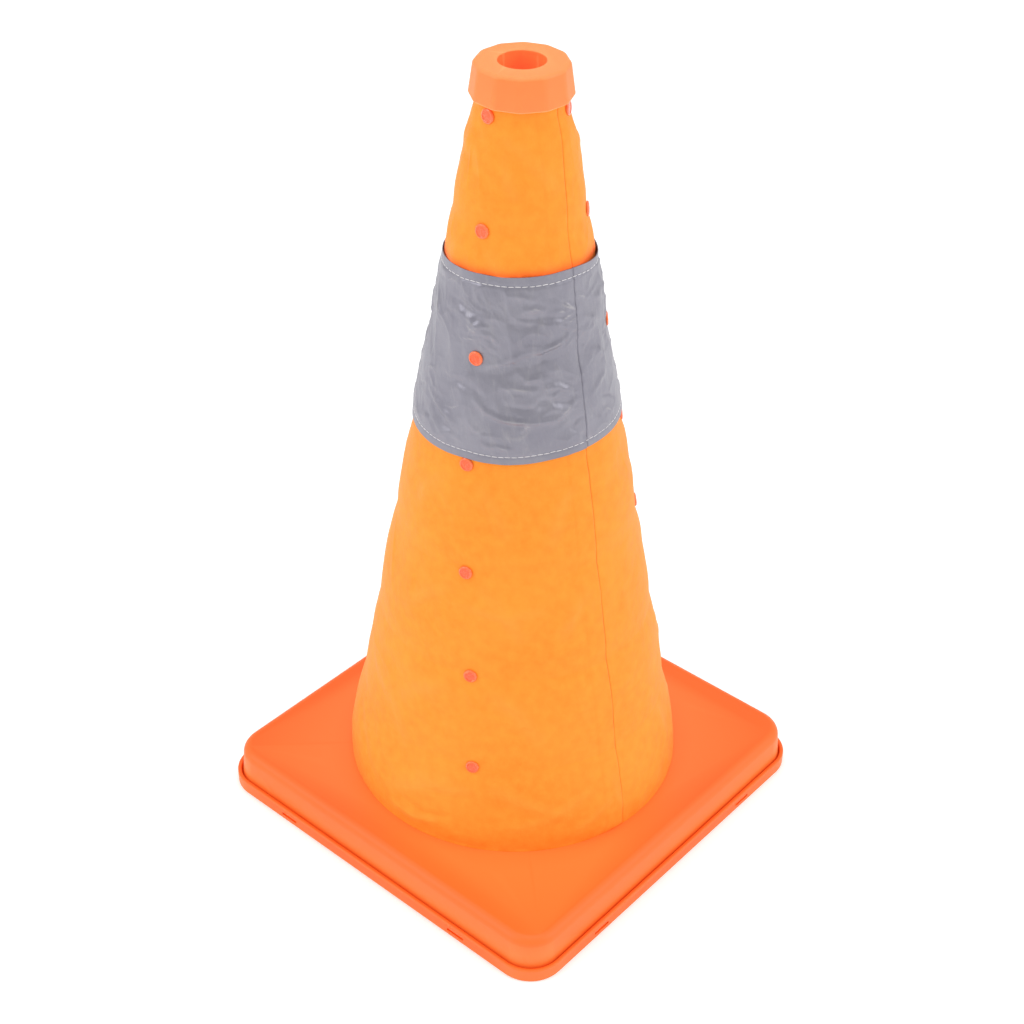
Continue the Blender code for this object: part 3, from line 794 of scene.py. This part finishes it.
def sleeve(name, heights, offset, relief, thick, path=(), askew=False):
    """A loop of cloth with a row at each height, and below them a path of (radius, height)."""
    even = np.repeat(np.asarray(heights)[:, None], COLUMNS, axis=1)
    turn = FROM_SEAM[None, :] + seam_turn(even)
    level = band_level(turn, even) if askew else even
    from_seam = np.repeat(FROM_SEAM[None, :], len(heights), axis=0)
    spots = (turn, level, from_seam, even) if askew else (turn, level, from_seam)
    out, painted_light_and_shade, painted_groove_shade = relief(*spots)
    radius = taut_radius(level) + offset + out
    slant = (APEX - even[:, 0]) / FAN_COSINE
    for reach, height in path:
        last = level[-1, 0]
        slant = np.append(slant, slant[-1] + math.hypot(reach - radius[-1, 0], last - height))
        level = np.vstack([level, np.full(COLUMNS, height)])
        radius = np.vstack([radius, np.full(COLUMNS, reach)])
        turn, painted_light_and_shade, painted_groove_shade = (np.vstack([rows, rows[-1]]) for rows in (turn, painted_light_and_shade, painted_groove_shade))
    count = len(level)
    places = np.stack([radius * np.cos(turn), radius * np.sin(turn), level], axis=-1)
    faces = []
    fan = []
    edges = np.append(FROM_SEAM, FROM_SEAM[0] + 2.0 * math.pi) * FAN_SINE
    for row in range(count - 1):
        for column in range(COLUMNS):
            right = (column + 1) % COLUMNS
            faces.append((row * COLUMNS + column, (row + 1) * COLUMNS + column,
                          (row + 1) * COLUMNS + right, row * COLUMNS + right))
            near, far = edges[column], edges[column + 1]
            high, low = slant[row], slant[row + 1]
            fan += [high * math.cos(near), high * math.sin(near),
                    low * math.cos(near), low * math.sin(near),
                    low * math.cos(far), low * math.sin(far),
                    high * math.cos(far), high * math.sin(far)]
    mesh = bpy.data.meshes.new(name)
    mesh.from_pydata(places.reshape(-1, 3).tolist(), [], faces)
    mesh.uv_layers.new(name="threads").data.foreach_set("uv", np.array(fan, np.float32))
    # painted shadow: deeper red-orange on the cloth just above the band's top edge, fading under
    # it too
    above = level - band_level(turn, BAND_TOP)
    painted_band_shadow = np.exp(-(np.maximum(above, -2.0 * above) / PAINTED_SHADOW_HEIGHT) ** 1.6)
    # painted light and shade on folds, painted shade in grooves, painted shadow by the band
    for mark, values in (("painted_light_and_shade", painted_light_and_shade), ("painted_groove_shade", painted_groove_shade), ("painted_band_shadow", painted_band_shadow)):
        layer = mesh.attributes.new(mark, "FLOAT", "POINT")
        layer.data.foreach_set("value", values.ravel().astype(np.float32))
    mesh.update()
    cloth = bring_in(name, mesh)
    finish_with(cloth, "SOLIDIFY", thickness=thick, offset=0.0, use_even_offset=True)
    alone(cloth)
    bpy.ops.object.shade_smooth_by_angle(angle=math.radians(50.0))
    return cloth


def levels(top, bottom, step=ROW_STEP):
    return np.linspace(top, bottom, max(3, int(round((top - bottom) / step)) + 1))


def declare_sheet(top, bottom, offset, extra=0.0):
    """Works out a loop's smallest and largest radius; nothing uses them."""
    small = float(taut_radius(top)) + offset
    large = float(taut_radius(bottom)) + offset + extra


def cloth_bend(cloth):
    """Moves the cloth's place into its mesh; it does not make the cloth bend between the rings."""
    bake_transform(cloth)


def cover_collar():
    bottom = ROW_HEIGHT[1]
    cloth = sleeve("cover_collar", levels(COVER_TOP, bottom), CLOTH_MIDDLE, cover_relief,
                   CLOTH_THICK)
    declare_sheet(COVER_TOP, bottom, CLOTH_MIDDLE)
    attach(cloth, "ring_1")
    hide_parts("cover_top")
    return cloth


def cover_stretch(ring):
    top, bottom = ROW_HEIGHT[ring], ROW_HEIGHT[ring + 1]
    cloth = sleeve("cover_cloth_%d" % ring, levels(top, bottom), CLOTH_MIDDLE, cover_relief,
                   CLOTH_THICK)
    declare_sheet(top, bottom, CLOTH_MIDDLE)
    cloth_bend(cloth)
    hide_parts("cover_stretch_%d" % ring)
    return cloth


def cover_foot():
    """The lowest cloth, through the base's opening, with its hem spread under the shell."""
    top, bottom = ROW_HEIGHT[RING_COUNT], BASE_TOP + 0.0010
    tuck = [(0.09729, BASE_TOP + 0.0004), (0.09729, BASE_TOP - 0.0004), (0.09727, 0.0256),
            (0.09725, 0.0248), (0.09740, 0.0243)]
    tuck += [(reach, HEM_LEVEL) for reach in (0.09790, 0.1000, 0.1024, 0.1048)]
    cloth = sleeve("cover_foot", levels(top, bottom), CLOTH_MIDDLE, cover_relief, CLOTH_THICK,
                   tuck)
    declare_sheet(top, HEM_LEVEL, CLOTH_MIDDLE,
                  HEM_SPREAD)
    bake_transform(cloth)
    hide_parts("cover_hem")
    return cloth


def band_half(name, top, bottom, node):
    cloth = sleeve(name, levels(top, bottom, BAND_ROW_STEP), BAND_MIDDLE, band_relief, BAND_THICK,
                   askew=True)
    declare_sheet(top, bottom, BAND_MIDDLE)
    cloth_bend(cloth)
    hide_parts(node)
    return cloth


# ---- lock stitches ----
def stitch_pattern():
    deselect()
    bpy.ops.mesh.primitive_uv_sphere_add(segments=6, ring_count=6, radius=1.0)
    stitch = named("stitch_pattern")
    with shaping(stitch):
        choose("VERT", lambda corner: abs(corner.co.z) < 0.6)
        bpy.ops.transform.resize(value=(1.0, 1.0, 1.25))
    return stitch


def stitch_line(pattern, name, height, seed):
    """A loop of stitches sunk a little into the band, each slightly out of line."""
    draw = np.random.default_rng(seed)
    circumference = 2.0 * math.pi * float(taut_radius(height) + BAND_MIDDLE)
    count = int(circumference / STITCH_PITCH)
    half = circumference / count * STITCH_FILL / 2.0
    shape = bmesh.new()
    for place in range(count):
        turn = -math.pi + 2.0 * math.pi * place / count
        even = height + draw.uniform(-STITCH_WANDER, STITCH_WANDER)
        level = float(band_level(turn, even))
        from_seam = wrapped(turn - seam_turn(level))
        out = band_relief(*(np.array([[value]]) for value in (turn, level, from_seam, even)))[0]
        radius = float(taut_radius(level) + out[0, 0]) + BAND_MIDDLE + BAND_THICK / 2.0 + 0.00004
        slope = math.atan2(float(band_level(turn + 0.02, even) - level), 0.02 * radius)
        lean = slope + draw.uniform(-0.05, 0.05)
        put = (Matrix.Rotation(turn, 4, "Z") @ Matrix.Translation((radius, 0.0, level))
               @ Matrix.Rotation(lean, 4, "X") @ Matrix.Rotation(math.pi / 2.0, 4, "X")
               @ Matrix.Diagonal((*THREAD_RADII, half, 1.0)))
        before = len(shape.verts)
        shape.from_mesh(pattern.data)
        shape.verts.ensure_lookup_table()
        bmesh.ops.transform(shape, matrix=put, verts=shape.verts[before:])
    mesh = bpy.data.meshes.new(name)
    shape.to_mesh(mesh)
    shape.free()
    for face in mesh.polygons:
        face.use_smooth = True
    return bring_in(name, mesh)


# ---- finishes ----
class Value:
    """A number that varies over a surface. Sums and products of it add Math nodes."""

    def __init__(self, finish, socket):
        self.finish = finish
        self.socket = socket

    def maths(self, operation, first, second):
        return self.finish.add("ShaderNodeMath", {"operation": operation},
                               {0: first, 1: second})

    def __add__(self, other):
        return self.maths("ADD", self, other)

    def __sub__(self, other):
        return self.maths("SUBTRACT", self, other)

    def __rsub__(self, other):
        return self.maths("SUBTRACT", other, self)

    def __mul__(self, other):
        return self.maths("MULTIPLY", self, other)

    __radd__ = __add__
    __rmul__ = __mul__


class Finish:
    """One material. Settings that are the same all over go straight on the shader."""

    def __init__(self, name, **settings):
        self.material = bpy.data.materials.new(name)
        self.material.use_nodes = True
        self.tree = self.material.node_tree
        self.shader = self.tree.nodes["Principled BSDF"]
        for socket, value in settings.items():
            self.shader.inputs[socket.replace("_", " ")].default_value = value

    def add(self, kind, settings=None, sockets=None, out=0):
        """One node: its settings first, then the values or links of its sockets."""
        node = self.tree.nodes.new(kind)
        for name, value in (settings or {}).items():
            setattr(node, name, value)
        for name, value in (sockets or {}).items():
            if isinstance(value, Value):
                self.tree.links.new(value.socket, node.inputs[name])
            else:
                node.inputs[name].default_value = value
        return Value(self, node.outputs[out])

    def feed(self, **links):
        for socket, value in links.items():
            self.tree.links.new(value.socket, self.shader.inputs[socket.replace("_", " ")])

    def place(self):
        return self.add("ShaderNodeTexCoord", out="Object")

    def threads(self):
        return self.add("ShaderNodeUVMap", {"uv_map": "threads"})

    def mark(self, name):
        return self.add("ShaderNodeAttribute", {"attribute_name": name}, out="Fac")

    def noise(self, where, scale, detail=3.0, rough=0.55):
        return self.add("ShaderNodeTexNoise", None, {"Vector": where, "Scale": scale,
                                                     "Detail": detail, "Roughness": rough})

    def stretched(self, where, size):
        return self.add("ShaderNodeMapping", None, {"Vector": where, "Scale": size})

    def between(self, value, low, high, start=0.0, end=1.0):
        """The value's run from low to high, laid over start to end and held there."""
        return self.add("ShaderNodeMapRange", None, {
            "Value": value, "From Min": low, "From Max": high, "To Min": start, "To Max": end})

    def tint(self, factor, low, high):
        return self.add("ShaderNodeMix", {"data_type": "RGBA"},
                        {"Factor": factor, 6: low, 7: high}, out=2)

    def bump(self, height, strength, distance, normal=None):
        sockets = {"Height": height, "Strength": strength, "Distance": distance}
        if normal is not None:
            sockets["Normal"] = normal
        return self.add("ShaderNodeBump", None, sockets)


def rgb(red, green, blue):
    """A colour as a maker's chart gives it (0 to 255), for the shader."""
    def linear(part):
        part /= 255.0
        return part / 12.92 if part <= 0.04045 else ((part + 0.055) / 1.055) ** 2.4
    return (linear(red), linear(green), linear(blue), 1.0)


def dayglow_painted_glow(strength, green=0.16, blue=0.01):
    """Fluorescent pigment gives some of the light back as red-orange; as a constant emission it is
    also a painted glow that lights shade too.
    """
    return {"Emission_Color": (1.0, green, blue, 1.0), "Emission_Strength": strength}


def cover_cloth_finish():
    """Coated plain-woven cloth: fine threads, slubs, faint blotches, painted highlights on fold
    ridges, painted shadow above the band's edge and painted shade along the seam.
    """
    f = Finish("orange_cover_cloth", Sheen_Weight=0.08, Sheen_Roughness=0.4,
               Specular_IOR_Level=0.30, **dayglow_painted_glow(0.06))
    where = f.threads()
    warp = f.noise(f.stretched(where, (260.0, 2400.0, 1.0)), 1.0, 2.0)
    weft = f.noise(f.stretched(where, (2400.0, 260.0, 1.0)), 1.0, 2.0)
    threads = warp * 0.5 + weft * 0.5
    weave = f.add("ShaderNodeTexWave", {"wave_type": "BANDS", "bands_direction": "X"},
                  {"Vector": where, "Scale": 380.0, "Distortion": 0.6, "Detail": 1.0})
    cross = f.add("ShaderNodeTexWave", {"wave_type": "BANDS", "bands_direction": "Y"},
                  {"Vector": where, "Scale": 380.0, "Distortion": 0.6, "Detail": 1.0})
    cells = weave * cross
    blotch = f.between(f.noise(where, 22.0, 4.0), 0.35, 0.65)
    small = f.between(f.noise(where, 160.0, 3.0), 0.3, 0.7)
    painted_light_and_shade = f.between(f.mark("painted_light_and_shade"), -1.0, 1.0)
    painted_groove_shade = f.mark("painted_groove_shade")
    plain = f.tint(blotch, rgb(253, 142, 32), rgb(255, 149, 40))
    grained = f.tint(small * 0.60, plain, rgb(255, 163, 54))
    # painted highlight on fold ridges
    folded = f.tint(f.between(painted_light_and_shade, 0.5, 1.0, 0.0, 0.25), grained, rgb(255, 160, 58))
    # painted shadow above the band's top edge
    shaded = f.tint(f.mark("painted_band_shadow") * 0.80, folded, rgb(255, 84, 18))
    # painted shade along the seam and the allowance's edge
    colour = f.tint(painted_groove_shade * 0.70, shaded, rgb(206, 90, 12))
    rough = 0.60 + 0.10 * small + 0.06 * threads - 0.10 * f.between(painted_light_and_shade, 0.5, 1.0)
    height = f.bump(threads, 0.40, 0.0004)
    height = f.bump(cells, 0.25, 0.0002, height)
    dents = f.bump(f.noise(where, 240.0, 3.0, 0.6), 0.35, 0.0006, height)
    normal = f.bump(f.noise(where, 70.0, 4.0, 0.6), 0.50, 0.0014, dents)
    f.feed(Base_Color=colour, Roughness=rough, Normal=normal)
    return f.material


def band_finish():
    """Grey bead-coated reflective cloth: a fine sparkle, painted sheen streaks, pale painted
    highlights on crease ridges and painted shade in crease hollows, seam and stitches.
    """
    f = Finish("grey_reflective_cloth", Specular_IOR_Level=0.6, Sheen_Weight=0.05)
    where = f.threads()
    beads = f.noise(where, 2600.0, 1.0)
    grain = f.noise(f.stretched(where, (900.0, 300.0, 1.0)), 1.0, 3.0)
    cloud = f.between(f.noise(where, 38.0, 4.0, 0.6), 0.32, 0.68)
    # painted sheen: pale streaks at random
    painted_sheen_streak = f.between(f.noise(f.stretched(where, (60.0, 190.0, 1.0)), 1.0, 5.0, 0.65), 0.52, 0.78)
    painted_light_and_shade = f.mark("painted_light_and_shade")
    # painted highlight on crease ridges, painted shade in crease hollows
    scuffs_and_painted_highlight = f.between(painted_light_and_shade, 0.25, 1.0)
    hollow = f.between(painted_light_and_shade, -0.05, -0.8)
    plain = f.tint(cloud, rgb(136, 134, 145), rgb(150, 148, 158))
    with_painted_sheen = f.tint(painted_sheen_streak * 0.35, plain, rgb(178, 175, 178))
    # pale painted highlight, then dull painted shade
    light = f.tint(scuffs_and_painted_highlight * 0.55, with_painted_sheen, rgb(194, 190, 188))
    painted_hollow_shade = f.tint(hollow * 0.50, light, rgb(112, 109, 122))
    # painted shade along the seam and the stitch lines
    colour = f.tint(f.mark("painted_groove_shade") * 0.50, painted_hollow_shade, rgb(92, 88, 104))
    rough = 0.33 + 0.10 * cloud + 0.08 * beads - 0.06 * scuffs_and_painted_highlight
    metal = 0.50 + 0.20 * grain
    normal = f.bump(beads, 0.15, 0.0002)
    normal = f.bump(grain, 0.12, 0.0005, normal)
    normal = f.bump(f.noise(f.stretched(where, (110.0, 240.0, 1.0)), 1.0, 5.0, 0.6), 0.30, 0.0011,
                    normal)
    f.feed(Base_Color=colour, Roughness=rough, Metallic=metal, Normal=normal)
    return f.material


def moulded_finish(name, deep, plain, pale, rough, grain_scale, grain_depth, painted_top_light=0.0,
                   **settings):
    """Moulded plastic: a fine skin, slow colour drift and pale scuffs, with painted light on
    upward faces, painted highlights on convex edges and painted shade in concave ones.
    """
    f = Finish(name, **settings)
    where = f.place()
    drift = f.between(f.noise(where, 9.0, 3.0), 0.3, 0.7)
    speck = f.noise(where, grain_scale, 3.0, 0.6)
    scuff = f.between(f.noise(f.stretched(where, (40.0, 260.0, 120.0)), 1.0, 5.0, 0.7), 0.60, 0.85)
    edge = f.add("ShaderNodeNewGeometry", out="Pointiness")
    # painted highlight on convex edges, painted shade in concave ones
    ridge = f.between(edge, 0.505, 0.56)
    hollow = f.between(edge, 0.495, 0.44)
    # painted light: paler on faces that look upward
    facing = f.add("ShaderNodeTexCoord", out="Normal")
    upward = f.add("ShaderNodeSeparateXYZ", None, {"Vector": facing}, out="Z")
    even = f.tint(drift, rgb(*deep), rgb(*plain))
    body = f.tint(f.between(upward, 0.2, 0.95) * painted_top_light, even, rgb(*pale))
    # painted highlights: convex edges, and the cap's foot line
    lit = f.tint(ridge * 0.6 + f.mark("painted_light_and_shade"), body, rgb(*pale))
    # scuffs: pale streaks of wear over the painted light
    scuffs_and_painted_highlight = f.tint(scuff * 0.10, lit, rgb(*pale))
    # painted shade in concave corners
    colour = f.tint(hollow * 0.35, scuffs_and_painted_highlight, rgb(*deep))
    normal = f.bump(speck, grain_depth, 0.0003)
    normal = f.bump(f.noise(where, 120.0, 2.0), 0.04, 0.0010, normal)
    f.feed(Base_Color=colour, Roughness=rough + 0.10 * speck + 0.08 * scuff - 0.06 * ridge,
           Normal=normal)
    return f.material


def thread_finish():
    f = Finish("white_lock_stitch_thread", Sheen_Weight=0.2)
    where = f.place()
    twist = f.add("ShaderNodeTexWave", {"wave_type": "BANDS", "bands_direction": "DIAGONAL"},
                  {"Vector": where, "Scale": 700.0, "Distortion": 1.0})
    soiled = f.noise(where, 60.0, 3.0)
    colour = f.tint(soiled, rgb(232, 226, 226), rgb(252, 250, 250))
    f.feed(Base_Color=colour, Roughness=0.72 + 0.12 * twist, Normal=f.bump(twist, 0.4, 0.0001))
    return f.material


def floor_finish():
    f = Finish("pale_studio_floor", Specular_IOR_Level=0.1,
               Emission_Color=(1.0, 1.0, 1.0, 1.0), Emission_Strength=0.22)
    where = f.place()
    f.feed(Base_Color=f.tint(f.noise(where, 3.0, 2.0), rgb(250, 250, 250), rgb(252, 252, 252)),
           Roughness=0.85 + 0.05 * f.noise(where, 40.0))
    return f.material


def wear(piece, finish):
    piece.data.materials.clear()
    piece.data.materials.append(finish)


# ---- camera, floor and lights ----
def camera():
    azimuth, elevation, roll = math.radians(40.887), math.radians(35.991), math.radians(0.681)
    back = Vector((math.sin(azimuth) * math.cos(elevation),
                   -math.cos(azimuth) * math.cos(elevation), math.sin(elevation)))
    right = (-back).cross(Vector((0.0, 0.0, 1.0))).normalized()
    up = right.cross(-back)
    across = math.cos(roll) * right + math.sin(roll) * up
    upward = -math.sin(roll) * right + math.cos(roll) * up
    lens = bpy.data.cameras.new("studio_camera")
    lens.lens = 63.786
    lens.sensor_width = 36.0
    lens.clip_start = 0.05
    lens.clip_end = 50.0
    item = bring_in("studio_camera", lens)
    turn = Matrix((across, upward, back)).transposed().to_4x4()
    item.matrix_world = Matrix.Translation((0.53232, -0.61822, 0.78645)) @ turn
    bpy.context.scene.camera = item


def soft_light(name, place, aim, size, power):
    lamp = bpy.data.lights.new(name, "AREA")
    lamp.shape = "DISK"
    lamp.size = size
    lamp.energy = power
    item = bring_in(name, lamp)
    item.location = place
    item.rotation_euler = (Vector(aim) - Vector(place)).to_track_quat("-Z", "Y").to_euler()


def studio():
    deselect()
    bpy.ops.mesh.primitive_plane_add(size=40.0)
    floor = named("studio_floor")
    floor.data.materials.append(floor_finish())
    world = bpy.data.worlds.new("studio_surround")
    world.use_nodes = True
    sky = world.node_tree.nodes["Background"]
    sky.inputs["Color"].default_value = (1.0, 1.0, 1.0, 1.0)
    sky.inputs["Strength"].default_value = 0.64
    bpy.context.scene.world = world
    middle = (0.0, 0.0, 0.2)
    soft_light("overhead", (0.0, 0.0, 3.2), middle, 2.6, 24.0)
    soft_light("left_softbox", (-1.5, -2.1, 1.9), middle, 2.0, 27.0)
    soft_light("right_softbox", (2.35, 1.3, 1.9), middle, 2.0, 27.0)
    bpy.context.scene.view_settings.view_transform = "Standard"


# ---- assembly ----
def dress():
    # each finish gets a painted glow from its constant dayglow emission
    base = moulded_finish("orange_base_plastic", (255, 100, 22), (255, 109, 27), (255, 142, 66),
                          0.46, 900.0, 0.10, Specular_IOR_Level=0.45, **dayglow_painted_glow(0.04))
    inner = moulded_finish("orange_ring_plastic", (240, 92, 26), (250, 102, 34), (255, 134, 66),
                           0.50, 800.0, 0.08, **dayglow_painted_glow(0.12))
    # the cap gets painted light on its upward faces (0.43)
    soft = moulded_finish("soft_cap_plastic", (255, 112, 29), (255, 118, 35), (255, 162, 94),
                          0.48, 1200.0, 0.05, 0.43, Subsurface_Weight=0.25,
                          Subsurface_Scale=0.004, **dayglow_painted_glow(0.20, 0.28, 0.12))
    shiny = moulded_finish("glossy_rivet_plastic", (250, 84, 28), (255, 98, 36), (255, 150, 92),
                           0.22, 700.0, 0.03, Coat_Weight=0.5, Coat_Roughness=0.08,
                           **dayglow_painted_glow(0.06))
    cloth = cover_cloth_finish()
    grey = band_finish()
    thread = thread_finish()

    for piece, node in ((shell_moulding(), "base_shell"), (tray_moulding(), "base_tray")):
        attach(piece, "base")
        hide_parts(node)
        wear(piece, base)
    for ring in RINGS:
        tube = telescoping_ring(ring)
        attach(tube, "ring_%d" % ring)
        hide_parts("ring_%d" % ring)
        wear(tube, inner)
    clamp = hem_clamp()
    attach(clamp, "base")
    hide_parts("retaining_ring")
    wear(clamp, inner)
    cap = faceted_cap()
    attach(cap, "ring_1")
    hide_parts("cap")
    wear(cap, soft)

    pattern = rivet_pattern()
    for ring in RINGS:
        for letter in "abc":
            rivet = set_rivet(pattern, ring, letter)
            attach(rivet, "ring_%d" % ring)
            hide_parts("rivet_%d_%s" % (ring, letter))
            wear(rivet, shiny)
    bpy.data.objects.remove(pattern, do_unlink=True)

    for cover in [cover_collar()] + [cover_stretch(ring) for ring in RINGS[:-1]] + [cover_foot()]:
        wear(cover, cloth)
    middle = ROW_HEIGHT[BAND_ROW]
    wear(band_half("band_upper_half", BAND_TOP, middle, "band_upper"), grey)
    wear(band_half("band_lower_half", middle, BAND_BOTTOM, "band_lower"), grey)
    stitch = stitch_pattern()
    upper = stitch_line(stitch, "band_stitches_upper", BAND_TOP - UPPER_STITCHES, 41)
    cloth_bend(upper)
    lower = stitch_line(stitch, "band_stitches_lower", BAND_BOTTOM + LOWER_STITCHES, 42)
    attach(lower, "ring_4")
    for line in (upper, lower):
        wear(line, thread)
    bpy.data.objects.remove(stitch, do_unlink=True)


dress()
camera()
studio()
